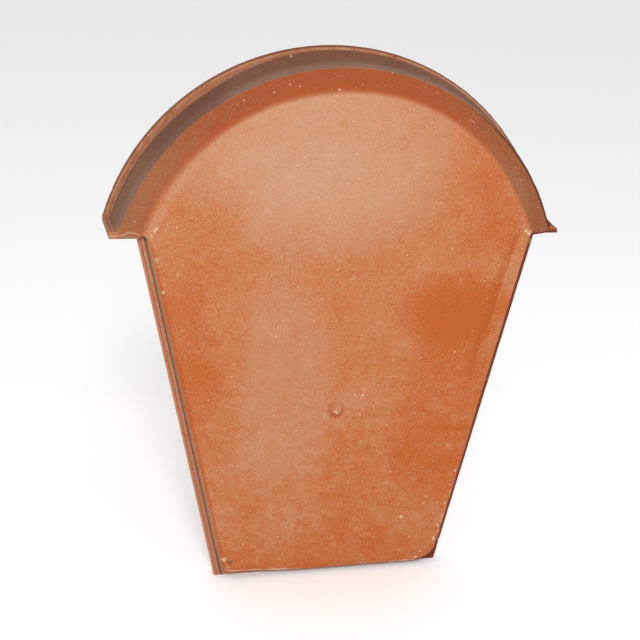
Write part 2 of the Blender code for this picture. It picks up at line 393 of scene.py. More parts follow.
def wrapped(name, sheet_rings):
    """A closed solid from a sheet whose rows are rings. The first ring shrinks to a point."""
    rows, columns = len(sheet_rings), len(sheet_rings[0]) + 1
    bm = bmesh.new()
    bmesh.ops.create_grid(bm, x_segments=columns - 1, y_segments=rows - 1, size=0.5)
    for vert in bm.verts:
        column = round((vert.co.x + 0.5) * (columns - 1))
        row = round((vert.co.y + 0.5) * (rows - 1))
        vert.co = sheet_rings[row][column % (columns - 1)]
    bmesh.ops.remove_doubles(bm, verts=bm.verts, dist=MERGE)
    bmesh.ops.edgeloop_fill(bm, edges=[edge for edge in bm.edges if edge.is_boundary])
    return finished(bm, name)


pole = [nail - Vector((0.0, PIP_RISE, 0.0))] * len(directions)
tile = wrapped("tile", [pole] + rings)
print("body:", len(tile.data.polygons), "faces")

# %% [markdown]
# ## The ledge
#
# A narrow ledge stands out behind the panel's edge. It runs along the foot and up the sides, turns out along
# the shoulders, and goes back under the collar's feet as a shelf. It is one flat outline pushed back through
# the whole depth, slightly wider at the back. Its edges are bevelled, and cuts across it every few
# millimetres give the worn edges something to move.

# %% Make the ledge
ARRIS = 0.28 * MM             # bevel of the ledge's edges
CUT_EVERY = 2.6 * MM
LEDGE_BACK = RIM_DEPTH - 0.05 * MM          # so that it shares no plane with the rim
FOOT_TOP = CAD_BOX[0].z + 3.5 * MM          # faces below this belong to the foot


def ledge_outline(depth):
    """Outline of the ledge at a depth."""
    share = (depth - LEDGE_DEPTH) / (RIM_DEPTH - LEDGE_DEPTH)
    outline = []
    for hand in (RIGHT, LEFT):
        shelf = hand.shelf[0] + (hand.shelf[1] - hand.shelf[0]) * share
        half = [(tip_x(depth), shelf), (tip_x(depth), 0.0), (SIDE_TOP, 0.0), (HALF_FOOT, -PANEL_DROP)]
        outline += [(hand.sign * x, height) for x, height in half[::int(hand.sign)]]
    return [place(x, depth, height) for x, height in outline]


def lofted(sections):
    """A bmesh of a closed solid through outlines that lie behind each other."""
    bm = bmesh.new()
    loops = []
    for points in sections:
        verts = [bm.verts.new(point) for point in points]
        loops.append([bm.edges.new(pair) for pair in zip(verts, verts[1:] + verts[:1])])
    for first, second in zip(loops, loops[1:]):
        bmesh.ops.bridge_loops(bm, edges=first + second)
    for loop in (loops[0], loops[-1]):
        bmesh.ops.edgeloop_fill(bm, edges=loop)
    bmesh.ops.recalc_face_normals(bm, faces=bm.faces)
    return bm


def cut_across(bm, point, normal, faces):
    """Cuts faces along a plane."""
    edges = {edge for face in faces for edge in face.edges}
    verts = {vert for face in faces for vert in face.verts}
    bmesh.ops.bisect_plane(bm, geom=faces + list(edges) + list(verts), plane_co=point, plane_no=normal,
                           dist=1e-7)


def faces_where(test):
    """The faces whose middle passes a test of its height."""
    return [face for face in bm.faces if test(face.calc_center_median().z)]


bm = lofted([ledge_outline(depth) for depth in (LEDGE_DEPTH, LEDGE_BACK)])
bmesh.ops.bevel(bm, geom=list(bm.edges), affect="EDGES", offset=ARRIS, offset_type="OFFSET", segments=2,
                profile=0.5, material=-1, clamp_overlap=True)
for height in np.arange(-PANEL_DROP + CUT_EVERY, 0.0, CUT_EVERY):
    cut_across(bm, place(0.0, 0.0, height), (0.0, 0.0, 1.0), list(bm.faces))
for x in np.arange(-HALF_FOOT, HALF_FOOT, CUT_EVERY):
    cut_across(bm, place(x, 0.0, 0.0), (1.0, 0.0, 0.0), faces_where(lambda z: z < FOOT_TOP))
for depth in np.arange(PLATE + CUT_EVERY, RIM_DEPTH, CUT_EVERY):
    cut_across(bm, place(0.0, depth, 0.0), (0.0, 1.0, 0.0), faces_where(lambda z: z > NAIL_DROP - 1e-6))
ledge = finished(bm, "ledge")
print("ledge:", len(ledge.data.polygons), "faces")

# %% [markdown]
# ## Open the back
#
# Behind the panel the collar is hollow, so that it slips over the end of the ridge, and below the shoulders
# nothing stands behind the panel. One cutter takes all of that away. Its mouth widens a little, so the
# collar's inner edge is soft. Boolean modifiers join the ledge and cut the back, and are then applied.

# %% Cut the back
MOUTH = 0.9 * MM              # the mouth widens over this depth
MOUTH_PROFILE = [(-0.3, 0.25), (0.0, 0.8), (4.0, 0.8)]   # depth past the rim and widening in millimetres
HOLLOW_STEPS = 16
ROOM = 6.0 * MM               # how far the cutter reaches beyond the tile


def hollow_outline(depth, widen=0.0):
    """Outline of the open back: the room in the collar, and everything below the shoulders."""
    radius = HOLLOW_RADIUS + widen
    half = [(0.0 if step == 0 else x, height)
            for step, (x, height) in enumerate(spaced(arc(radius, None, 0.0), ARCH_STEPS))]
    outside = TIP_BACK + ROOM
    half += [(arch_x(radius, 0.0), 0.0), (outside, 0.0), (outside, -PANEL_DROP - ROOM)]
    return [place(x, depth, h) for x, h in half + [(-x, h) for x, h in reversed(half) if x > 0.0]]


def boolean(piece, other, operation):
    """Joins or cuts a piece with another one for good."""
    modifier = piece.modifiers.new(other.name, "BOOLEAN")
    modifier.operation, modifier.object, modifier.solver = operation, other, "EXACT"
    graph = bpy.context.evaluated_depsgraph_get()
    mesh = bpy.data.meshes.new_from_object(piece.evaluated_get(graph))
    piece.modifiers.clear()
    piece.data = mesh
    bpy.data.objects.remove(other, do_unlink=True)


sections = [hollow_outline(PLATE + (RIM_DEPTH - MOUTH - PLATE) * step / HOLLOW_STEPS)
            for step in range(HOLLOW_STEPS + 1)]
sections += [hollow_outline(RIM_DEPTH + past * MM, widen * MM) for past, widen in MOUTH_PROFILE]
cutter = finished(lofted(sections), "hollow")
boolean(tile, ledge, "UNION")
boolean(tile, cutter, "DIFFERENCE")
print("tile:", len(tile.data.polygons), "faces")

# %% [markdown]
# ## Wear and hand work
#
# A pressed tile isn't quite flat, and decades on a roof wear its corners. A Displace modifier could do that
# for the whole tile at once, but each edge here wears in its own way. So the points are moved in code: each
# move has a mask, 1 where the wear is and 0 elsewhere, and an amount from smooth noise. All moves go inwards,
# so the tile stays within its own size.

# %% Read the points
mesh = tile.data
points = np.empty(len(mesh.vertices) * 3)
mesh.vertices.foreach_get("co", points)
points = points.reshape(-1, 3)
normals = np.array([normal.vector for normal in mesh.vertex_normals])
X, D, H = points[:, 0] / MM, points[:, 1] / MM + PLATE / MM, points[:, 2] / MM - NAIL_DROP / MM
R = np.hypot(X, H + ARCH_DROP / MM)
INSET = (SIDE_TOP / MM + SIDE_SLOPE * H - np.abs(X)) / SIDE_STRETCH


def waves(size, seed):
    """Smooth noise from -1 to 1 over the tile, its waves about `size` millimetres long."""
    shift = Vector((seed * 17.3, seed * 5.1, seed * 9.7))
    return np.array([noise.noise(Vector(point) / (size * MM) + shift) for point in points])


moved = np.zeros_like(points)


def wear(mask, amount):
    """Moves points inwards by an amount in millimetres."""
    depth = mask * np.maximum(amount, 0.0) * MM
    moved[:] -= normals * depth[:, None]
    return f"{int((mask > 0.01).sum())} points, up to {depth.max() / MM:.2f} mm"


print(len(points), "points")

# %% Panel: slow waves from the press, and the trimming line
nail_distance = np.hypot(X, H + NAIL_DROP / MM)
face = ease(D, 1.6, 0.6) * (R < 137.0) * ease(nail_distance, 9.0, 16.0)
print("waves:", wear(face, 0.16 + 0.2 * waves(75.0, 1) + 0.06 * waves(22.0, 2) + 0.03 * waves(7.0, 3)))
off_trim = INSET - np.interp(H, *zip(*GROOVE_LINE))
groove = ease(off_trim, 6.5, 0.6) * ease(off_trim, -0.9, 0.1) * face * (X > 0.0)
groove *= ease(H, 8.0, 0.0) * ease(H, -125.0, -95.0)
print("trimming line:", wear(groove, 0.3 + 0.2 * waves(13.0, 4)))
strip = ease(off_trim, 0.4, -0.6) * ease(INSET, 5.0, 7.0) * face * (X > 0.0) * (H < 2.0)
print("strip outside it:", wear(strip, 0.1 + 0.1 * waves(5.0, 5)))

# %% Worn edges of the band, the lip, the panel and the ledge
WORN_CREASE, LIP_EDGE, RIDGE = (CREASE[0], 9.0), (160.4, 52.0), (158.95, 50.2)   # radius and depth
worn = waves(9.0, 6) + 0.6 * waves(3.5, 7)


def along_arch(edge, reach, core):
    """1 within the core of an edge that runs over the arch, and 0 from the reach on."""
    return ease(np.hypot(R - edge[0], D - edge[1]), reach, core) * (H > 1.0)


print("crease:", wear(along_arch(WORN_CREASE, 1.5, 0.2), 0.1 + 0.22 * worn))
print("lip:", wear(along_arch(LIP_EDGE, 2.2, 0.5), 0.1 + 0.22 * worn))
print("ridge of the lip:", wear(along_arch(RIDGE, 0.8, 0.2), 0.12 + 0.35 * waves(14.0, 8)))
rounding = ease(D, 0.5, 1.6) * ease(D, 5.0, 3.0)
print("panel edge:", wear(rounding * ease(INSET, 11.0, 7.0) * (H < 3.0), 0.1 + 0.25 * worn))
print("foot edge:", wear(rounding * (H < -244.0), 0.12 + 0.3 * worn))
arris = ease(INSET, 0.9, 0.3) * ease(np.abs(D - 8.2), 1.0, 0.3) * (H < 0.5)
print("ledge arris:", wear(arris, 0.05 + 0.18 * worn))

# %% Chips
CHIPS = [   # x, height, radius and depth
    (90.7, -174.2, 3.2, 0.55), (87.4, -185.4, 2.6, 0.5), (84.9, -200.0, 4.0, 0.6), (81.2, -219.0, 3.0, 0.5),
    (80.0, -231.6, 4.0, 0.6), (-128.0, 1.0, 3.5, 0.35), (-146.5, 20.0, 2.0, 0.5), (-117.5, 95.0, 2.4, 0.5),
    (-40.0, 101.5, 2.0, 0.4), (62.0, 94.0, 2.2, 0.4), (149.5, 3.0, 2.0, 0.7), (-152.6, 3.0, 2.4, 0.6),
]
near_edge = ease(D, 0.05, 0.6)
for x, height, radius, depth in CHIPS:
    spot = ease(np.hypot(X - x, H - height) * (1.0 + 0.25 * worn), radius, radius * 0.3)
    wear(spot * near_edge * (D < 60.0) * (normals[:, 1] < 0.75), np.full(len(points), depth))
points += moved
mesh.vertices.foreach_set("co", points.ravel())
mesh.update()
print(len(CHIPS), "chips, largest move", round(float(np.linalg.norm(moved, axis=1).max()) / MM, 2), "mm")

# %% [markdown]
# ## Camera, floor and light
#
# The camera stands a little above and to the left, about 0.7 metres away. The floor is pale and the light is
# soft: a lamp above the camera, a weaker and larger one on the right, and an even sky.

# %% Camera and light
FACING = Vector((0.2031, 0.9162, -0.3454)).normalized()
UPWARDS = Vector((0.0304, 0.3467, 0.9375))
SIDEWAYS = FACING.cross(UPWARDS).normalized()
UPWARDS = SIDEWAYS.cross(FACING)
camera = bpy.data.objects.new("camera", bpy.data.cameras.new("camera"))
camera.data.sensor_width = 36.0
camera.data.lens = 59.37
camera.data.clip_start = 0.01
camera.matrix_world = Matrix((SIDEWAYS, UPWARDS, -FACING)).transposed().to_4x4()
camera.location = (-0.1562, -0.6532, 0.3078)
bpy.context.scene.collection.objects.link(camera)
bpy.context.scene.camera = camera


def lamp(name, size, watts, position, target=(0.0, 0.0, 0.05)):
    """A square soft lamp that points at the tile."""
    light = bpy.data.lights.new(name, "AREA")
    light.shape, light.size, light.energy = "SQUARE", size, watts
    holder = bpy.data.objects.new(name, light)
    way = Vector(target) - Vector(position)
    holder.location = position
    holder.rotation_mode = "QUATERNION"
    holder.rotation_quaternion = way.to_track_quat("-Z", "Y")
    bpy.context.scene.collection.objects.link(holder)


lamp("key", 0.5, 23.5, (-0.25, -1.6, 1.25))
lamp("fill", 1.4, 3.0, (1.5, -1.4, 0.5))
world = bpy.data.worlds.new("studio")
world.use_nodes = True
sky = world.node_tree.nodes["Background"].inputs
sky["Color"].default_value = (1.0, 1.0, 1.0, 1.0)
sky["Strength"].default_value = 0.86
bpy.context.scene.world = world
bpy.context.scene.view_settings.view_transform = "Standard"

bm = bmesh.new()
under_tile = Matrix.Translation((0, 0, CAD_BOX[0].z))
bmesh.ops.create_grid(bm, x_segments=1, y_segments=1, size=40.0, matrix=under_tile)
floor = finished(bm, "floor")

# %% [markdown]
# ## Writing a material as sums
#
# A clay surface is a mixture of many masks, and dozens of Math nodes are hard to read when each is made by
# hand. The class `Wire` wraps a socket, so that `1 - mask * 0.4` adds its own Math nodes. `Paint` holds the
# nodes of one material, and its method `node` makes every other kind of node.

# %% Wires and paint
class Wire:
    """A socket that can be used in sums."""

    def __init__(self, paint, socket):
        self.paint, self.socket = paint, socket

    def __add__(self, other):
        return self.paint.maths("ADD", self, other)

    def __sub__(self, other):
        return self.paint.maths("SUBTRACT", self, other)

    def __rsub__(self, other):
        return self.paint.maths("SUBTRACT", other, self)

    def __mul__(self, other):
        return self.paint.maths("MULTIPLY", self, other)

    def __truediv__(self, other):
        return self.paint.maths("DIVIDE", self, other)

    def __rtruediv__(self, other):
        return self.paint.maths("DIVIDE", other, self)

    __radd__, __rmul__ = __add__, __mul__


class Paint:
    """The nodes of one material."""

    def __init__(self, name):
        self.material = bpy.data.materials.new(name)
        self.material.use_nodes = True
        self.tree = self.material.node_tree
        self.shader = self.tree.nodes["Principled BSDF"]

    def feed(self, socket, value):
        """Gives a socket a value, or a link from a wire."""
        if isinstance(value, Wire):
            self.tree.links.new(value.socket, socket)
        else:
            socket.default_value = value

    def node(self, kind, settings, inputs, output=0):
        """Adds a node: its settings first, then the values or links of its sockets."""
        node = self.tree.nodes.new("ShaderNode" + kind)
        for name, value in settings.items():
            setattr(node, name, value)
        for key, value in inputs.items():
            self.feed(node.inputs[key], value)
        return Wire(self, node.outputs[output])

    def maths(self, operation, *values):
        return self.node("Math", {"operation": operation}, dict(enumerate(values)))

    def smooth(self, value, low, high):
        """A soft step from 0 at low to 1 at high; low may be the larger."""
        return self.node("MapRange", {"interpolation_type": "SMOOTHSTEP"},
                         {"Value": value, "From Min": low, "From Max": high})

    def line(self, value, middle, reach):
        """1 where a value is at the middle, and 0 from the reach on."""
        return self.smooth(self.maths("ABSOLUTE", value - middle), reach, 0.0)

    def mix(self, factor, first, second):
        """Mixes two colours."""
        colours = [value if isinstance(value, Wire) else (*value, 1.0) for value in (first, second)]
        return self.node("Mix", {"data_type": "RGBA"}, {0: factor, 6: colours[0], 7: colours[1]}, 2)

    def limit(self, value):
        return self.node("Clamp", {}, {"Value": value})


clay = Paint("terracotta")
clay.shader.inputs["Specular IOR Level"].default_value = 0.2
print("nodes of a new paint:", [node.name for node in clay.tree.nodes])

# %% [markdown]
# ## The tile's own coordinates
#
# Every mask is tied to the tile's form. The Object coordinates are in metres in the tile's frame. Scaled by a
# thousand they give the x, height, depth and arch radius that the mesh was made from, in millimetres.

# %% Coordinates
smooth, line, mix, limit = clay.smooth, clay.line, clay.mix, clay.limit
object_place = clay.node("TexCoord", {}, {}, "Object")
place_mm = clay.node("VectorMath", {"operation": "SCALE"}, {0: object_place, "Scale": 1000.0})


def parts_of(vector):
    """The three numbers of a vector."""
    split = clay.tree.nodes.new("ShaderNodeSeparateXYZ")
    clay.feed(split.inputs[0], vector)
    return [Wire(clay, socket) for socket in split.outputs]


x_mm, y_mm, z_mm = parts_of(place_mm)
height = z_mm - NAIL_DROP / MM
depth = y_mm + PLATE / MM
across = clay.maths("ABSOLUTE", x_mm)
arch_radius = clay.maths("SQRT", x_mm * x_mm + (height + ARCH_DROP / MM) * (height + ARCH_DROP / MM))
side_inset = (SIDE_TOP / MM + height * SIDE_SLOPE - across) * (1.0 / SIDE_STRETCH)
foot_inset = height + PANEL_DROP / MM
on_right = smooth(x_mm, -8.0, 8.0)
on_left = 1.0 - on_right


def clouds(size, detail=2.0, roughness=0.5):
    """Noise from about -1 to 1, its clouds about `size` millimetres across."""
    value = clay.node("TexNoise", {}, {"Vector": place_mm, "Scale": 1.0 / size, "Detail": detail,
                                       "Roughness": roughness})
    return (value - 0.5) * 2.6


wide, medium, small = clouds(70.0, 1.0), clouds(26.0, 4.0, 0.62), clouds(7.0, 3.0, 0.6)
grain, fine_grain = clouds(1.5, 2.0, 0.7), clouds(0.75, 1.0)
print(len(clay.tree.nodes), "nodes for the coordinates and clouds")

# %% [markdown]
# ## The panel: orange clay under a pale film and a painted sheen
#
# Fired clay of this kind is a deep orange. Rain and lime have left a thin pinkish film over it, thick above
# the middle and thin on the lower right, where the orange shows through. Above the middle the film's pale is
# also a painted sheen, light that the flat panel reflects there. Film and sheen are one mask: a few soft
# spots placed as on the real tile, broken up by clouds, and made grainy at one or two millimetres. The strip
# outside the trimming line keeps more of it. Just inside the line the mask is thinner and the clay darker,
# as painted shade of the groove. At the left arch the film ends in a pale fringe.

# %% Film on the panel
# The strong pale spot above the middle is film and painted sheen together.
FILM_AND_SHEEN_SPOTS = [   # x, height, half width, half height, strength
    (-14.0, 56.0, 105.0, 82.0, 0.34), (-30.0, 48.0, 55.0, 34.0, 0.07), (-118.0, 28.0, 40.0, 70.0, 0.05),
    (-36.0, -112.0, 42.0, 95.0, 0.15), (79.0, -51.0, 46.0, 34.0, -0.24), (90.0, -130.0, 62.0, 110.0, -0.17),
    (-108.0, -80.0, 36.0, 100.0, -0.13), (30.0, -180.0, 60.0, 60.0, -0.06), (0.0, -262.0, 150.0, 62.0, -0.12),
    (104.0, 40.0, 46.0, 66.0, -0.1),
]
LINE_INSET = 16.0             # usual inset of the trimming line
bent_x, bent_height = x_mm + medium * 9.0 + wide * 12.0, height + small * 5.0 - medium * 9.0


def spot(x, high, half_width, half_height, u=bent_x, v=bent_height):
    """A soft round mask."""
    du, dv = (u - x) / half_width, (v - high) / half_height
    return smooth(du * du + dv * dv, 1.0, 0.0)


film_and_sheen = 0.22 + wide * 0.04 + medium * 0.17 + small * 0.08
for x, high, half_width, half_height, strength in FILM_AND_SHEEN_SPOTS:
    film_and_sheen = film_and_sheen + spot(x, high, half_width, half_height) * strength
off_line = side_inset - LINE_INSET + smooth(height, -40.0, 0.0) * 2.0 - line(height, -83.0, 30.0) * 2.0
beside = on_right * smooth(height, 9.0, -3.0)
ragged_line = off_line + small * 1.0 + grain * 0.35
strip = smooth(ragged_line, 0.6, -0.9) * beside * smooth(height, -150.0, -70.0)
# Painted shade of the groove, just inside the trimming line.
shade = smooth(ragged_line, 9.0, 0.4) * smooth(ragged_line, -0.9, 0.3) * beside
shade = shade * smooth(height, -120.0, -70.0)
film_and_sheen = film_and_sheen + strip * 0.06 - shade * 0.08 + small * smooth(height, -60.0, -160.0) * 0.1
fringe = line(arch_radius + medium * 1.5 + small * 1.5, 133.5, 4.0) * smooth(x_mm, -70.0, -112.0)
film_and_sheen = film_and_sheen + fringe * smooth(height, -2.0, 8.0) * 0.16
film_and_sheen = limit(film_and_sheen + grain * 0.23 + fine_grain * 0.17)
print("film from", len(FILM_AND_SHEEN_SPOTS), "spots")

# %% [markdown]
# The film mixes three colours, because a thin film looks yellower than a thick one. Burnt patches show
# through it. Bare clay lies inside the left edge. Inside the trimming line and in a ring round the nail mark
# the clay is darkened as painted shade, round the nail mark most towards its lower right.

# %% Colours of the panel
# The palest colour is the thick film and also the colour of the painted sheen.
DEEP_CLAY, THIN_FILM, PALE_FILM_AND_SHEEN = (0.365, 0.08, 0.012), (0.4, 0.158, 0.066), (0.45, 0.28, 0.19)
THIN = 0.3                    # the film's value where its yellower colour is strongest
colour = mix(limit(film_and_sheen / THIN), DEEP_CLAY, THIN_FILM)
colour = mix(limit((film_and_sheen - THIN) / (1.0 - THIN)), colour, PALE_FILM_AND_SHEEN)
burnt = clouds(15.0, 4.0, 0.7)
colour = mix(limit(burnt * 0.5 - 0.14), colour, (0.3, 0.06, 0.01))
edge_line = line(side_inset + small * 0.4, 8.6, 1.9) * on_left * smooth(height, 2.0, -4.0)
colour = mix(edge_line * 0.65, colour, (0.35, 0.066, 0.01))
# The clay inside the trimming line is darkened here as painted shade.
colour = mix(shade * 0.36, colour, (0.27, 0.055, 0.01))
nail_reach = clay.maths("SQRT", (x_mm + 0.4) * (x_mm + 0.4) + (height + 121.6) * (height + 121.6))
# A ring of painted shade round the nail mark's pip, darkest towards the lower right.
nail_ring_shade = line(nail_reach + grain * 0.25, 4.6, 1.7) * smooth(depth, 2.0, 1.0)
nail_shade_share = limit(0.4 - (height + NAIL_DROP / MM) * 0.09 + x_mm * 0.03)
colour = mix(nail_ring_shade * nail_shade_share, colour, (0.27, 0.048, 0.008))
print(len(clay.tree.nodes), "nodes")

# %% [markdown]
# ## Band, wall and lip
#
# The sloping band sheds water, so it has hardly any film and none of the panel's painted sheen, and is
# darker.
# On its right side it is painted darker still, as shade. A deeper orange line of painted shade marks where it
# leaves the panel, and on the right a pale haze lies there instead.

# %% Colours of the band
over = smooth(height, -2.5, 2.0)
left_side = smooth(x_mm + medium * 8.0, -40.0, -110.0) * smooth(height, 80.0, 38.0)
right_side = smooth(x_mm + medium * 8.0, 66.0, 122.0)
band = smooth(arch_radius + medium * 0.8 + right_side * 2.6, 135.8, 140.5) * over
band_clay = mix(left_side, (0.24, 0.052, 0.012), (0.255, 0.082, 0.032))
# The right side of the band is painted darker, as shade.
band_clay = mix(right_side, band_clay, (0.215, 0.062, 0.018))
band_dust = limit(0.04 + grain * 0.3 + fine_grain * 0.18 + small * 0.12)
band_clay = mix(band_dust, band_clay, (0.38, 0.2, 0.11))
band_clay = mix(smooth(height, 76.0, 98.0) * 0.6, band_clay, (0.262, 0.055, 0.009))
colour = mix(band, colour, band_clay)
haze = line(arch_radius + small * 1.2, 139.0, 6.0) * right_side * smooth(height, 8.0, 30.0)
colour = mix(haze * 0.2, colour, (0.33, 0.175, 0.115))
# Painted shade where the band leaves the panel.
band_shade_line = line(arch_radius + small * 0.9 + medium * 1.6, 139.8, 4.2) * over * (1.0 - right_side)
colour = mix(band_shade_line * (0.6 - left_side * 0.3), colour, (0.3, 0.055, 0.007))
print(len(clay.tree.nodes), "nodes")

# %% [markdown]
# The collar wall behind the crease is weathered to a grey brown. A paler grey beside the crease is a painted
# sheen, and a darker patch on the upper left is a painted shadow. The crease itself is rubbed pale here and
# there.

# %% Colours of the wall
wall = smooth(depth, 9.1, 9.7) * smooth(arch_radius, 146.0, 149.0)
wall_clay = mix(left_side, (0.138, 0.048, 0.022), (0.165, 0.07, 0.034))
# A paler grey beside the crease, painted as sheen.
beside_crease_sheen = smooth(depth + small * 2.5 + medium * 2.0, 27.0, 13.0)
wall_clay = mix(beside_crease_sheen * 0.8, wall_clay, (0.205, 0.11, 0.072))
wall_dust = limit(0.01 + medium * 0.2 + small * 0.12 + grain * 0.42)
wall_clay = mix(wall_dust, wall_clay, (0.3, 0.16, 0.09))
# A painted shadow in a patch on the upper left of the wall.
wall_clay = mix(spot(-108.0, 78.0, 46.0, 46.0) * 0.55, wall_clay, (0.11, 0.036, 0.018))
colour = mix(wall, colour, wall_clay)
crease_line = line(depth + small * 0.15, 9.05, 0.55) * smooth(arch_radius, 150.0, 151.2)
colour = mix(crease_line * limit(0.35 + medium * 0.5), colour, (0.46, 0.21, 0.11))
print(len(clay.tree.nodes), "nodes")

# %% [markdown]
# The lip is orange again, and looks wider on the left. Its pale ridge is a painted highlight, the groove
# and the corner beside it get painted shade, and it has a dark rim. On the right the crease ends in a dark
# line of painted shade.

# %% Colours of the lip
lip_side = smooth(x_mm, -15.0, -95.0)
lip_depth = depth + lip_side * 9.0
lip = smooth(lip_depth, 47.4, 48.3) * smooth(arch_radius + lip_side * 1.5, 156.6, 157.5)
lip_clay = mix(limit(0.22 + small * 0.5 + grain * 0.5), (0.27, 0.085, 0.032), (0.4, 0.21, 0.12))
colour = mix(lip, colour, lip_clay)
# A painted highlight along the lip's ridge.
lip_ridge_highlight = line(arch_radius, RIDGE[0], 0.55) * lip
colour = mix(lip_ridge_highlight * limit(0.55 + small * 0.8 + grain * 0.6), colour, (0.58, 0.35, 0.22))
# Painted shade in the groove beside the ridge.
lip_valley_shade = line(arch_radius + small * 0.1, 159.55, 0.45) * lip
colour = mix(lip_valley_shade * limit(0.25 + small * 0.9), colour, (0.1, 0.035, 0.018))
# Painted shade in the corner between wall and lip, stronger on the left.
lip_corner_shade = line(arch_radius + lip_side * 1.3, 157.5, 0.6) * smooth(lip_depth, 46.4, 47.4)
colour = mix(lip_corner_shade * limit(0.35 + left_side * 0.4 + small * 0.5), colour, (0.07, 0.03, 0.018))
lip_rim = smooth(arch_radius, 159.5, 159.9) * smooth(depth, 49.8, 50.3)
colour = mix(lip_rim * (0.85 - lip_side * 0.35), colour, (0.115, 0.03, 0.012))
# Painted shade: a dark line where the crease ends on the right.
right_crease_shade = smooth(arch_radius + small * 0.2, 149.2, 150.1) * smooth(depth, 10.5, 9.6) * right_side
colour = mix(right_crease_shade * over * 0.9, colour, (0.06, 0.018, 0.008))
print(len(clay.tree.nodes), "nodes")

# %% [markdown]
# ## Ledge and edge
#
# On the left ledge a fine dark line runs along its middle, and its outer arris is rubbed pale. The right one
# is painted dark brown as shade, and is darker still at the back of its tip.

# %% Colours of the ledge
low = smooth(height, 5.2, 4.3)
ledge_mask = smooth(depth, 7.2, 7.9) * low
ledge_clay = mix(limit(0.35 + small * 0.5 + grain * 0.35), (0.36, 0.115, 0.055), (0.47, 0.24, 0.13))
ledge_line = line(side_inset + small * 0.25, 2.1, 0.75) * limit(0.75 + small * 0.8)
ledge_clay = mix(ledge_line, ledge_clay, (0.17, 0.05, 0.022))
ledge_clay = mix(smooth(side_inset + small * 0.2, 0.7, 0.15) * 0.5, ledge_clay, (0.5, 0.25, 0.14))
# The right ledge is painted dark brown, as shade.
ledge_clay = mix(on_right, ledge_clay, (0.125, 0.042, 0.02))
ledge_clay = mix(on_right * smooth(height, -4.0, -1.0), ledge_clay, (0.33, 0.095, 0.03))
# Darker at the back of the right tip.
dark_tip = smooth(height, 1.6, 2.6) * smooth(depth, 44.0, 48.0) * on_right
ledge_clay = mix(dark_tip * 0.85, ledge_clay, (0.055, 0.02, 0.01))
print(len(clay.tree.nodes), "nodes")

# %% [markdown]
# At the left shoulder the shelf under the collar's foot is dull in front, with a worn line at its bottom, and
# a dark line of painted shade runs along its top near the tip. Above it the arris of the small vault is
# rubbed pale.

# %% Colours of the left shelf and vault
TIP_SLOPE = 0.0776            # the tip stands out so much further with depth
VAULT_END, VAULT_SPAN = 143.0, 15.0
shelf_front = smooth(height, -0.6, 0.6) * smooth(depth, 9.0, 8.4) * on_left
shelf_front = shelf_front * smooth(across, 144.5, 142.0)
ledge_clay = mix(shelf_front * limit(0.7 + small * 0.5), ledge_clay, (0.19, 0.085, 0.05))
shelf_worn = shelf_front * smooth(height + small * 0.2, 1.3, 0.6)
ledge_clay = mix(shelf_worn * 0.8, ledge_clay, (0.38, 0.15, 0.068))
shelf_end = smooth(across, 141.0, 144.0) * smooth(height, -0.6, 0.6) * on_left
ledge_clay = mix(shelf_end * limit(0.65 + small * 0.5), ledge_clay, (0.27, 0.092, 0.04))
from_tip = TIP_FRONT / MM + (depth - LEDGE_DEPTH / MM) * TIP_SLOPE - across
shelf_top = smooth(depth, 10.0, 12.0) * smooth(depth, 47.0, 42.0) * on_left
# A dark line of painted shade along the shelf's top, near its tip.
shelf_shade_line = line(from_tip + small * 0.3, 1.55, 0.95) * smooth(height, 2.0, 4.0) * shelf_top
ledge_clay = mix(shelf_shade_line * limit(0.75 + small * 0.8), ledge_clay, (0.085, 0.036, 0.022))
colour = mix(ledge_mask, colour, ledge_clay)
vault = clay.maths("SINE", limit((VAULT_END - across) / VAULT_SPAN) * math.pi) * (LEFT.vault / MM)
vault_arris = line(height - (vault + LEFT.notch / MM), 0.55, 0.85) * smooth(depth, 9.0, 8.5) * on_left
vault_arris = vault_arris * smooth(arch_radius, 132.0, 136.0) * limit(0.75 + small * 0.7)
colour = mix(vault_arris, colour, (0.5, 0.26, 0.14))
print(len(clay.tree.nodes), "nodes")

# %% [markdown]
# Dirt gathers in the step between the panel's edge and the ledge, and its wall is a dull brown. On the right
# the edge and the corner are painted dark red as shade. The foot's edge is dark too: dirt at its left end and
# painted shade further on, with a pale worn line above it.

# %% Colours of the edge's step
below = smooth(height, 3.5, 1.5)
step = smooth(depth, 1.5, 2.4) * smooth(depth, 7.95, 7.5) * below * smooth(side_inset, 9.0, 7.6)
colour = mix(step * limit(0.75 + small * 0.2), colour, (0.25, 0.15, 0.1))
step_foot = smooth(depth, 5.6, 7.4) * smooth(side_inset, 4.35, 4.75) * smooth(side_inset, 6.6, 5.6)
step_dirt = step_foot * below * on_left * limit(0.78 + small * 0.3)
colour = mix(step_dirt, colour, (0.088, 0.05, 0.037))
# The right edge and corner are painted dark red, as shade.
right_edge_shade = smooth(depth, 0.28, 0.55) * below * smooth(side_inset, 6.5, 5.6) * on_right
right_corner_shade = smooth(side_inset + foot_inset, 30.0, 25.0) * smooth(depth, 0.5, 1.0) * on_right
right_edge_shade = clay.maths("MAXIMUM", right_edge_shade, right_corner_shade * smooth(depth, 7.9, 7.4))
colour = mix(right_edge_shade, colour, (0.13, 0.022, 0.006))
foot_rise = smooth(x_mm, -15.0, -66.0) * (LEFT.foot_lift / MM)
foot_step = smooth(depth, 1.2, 1.9) * smooth(foot_inset - foot_rise, 4.4, 3.6) * smooth(depth, 7.9, 7.4)
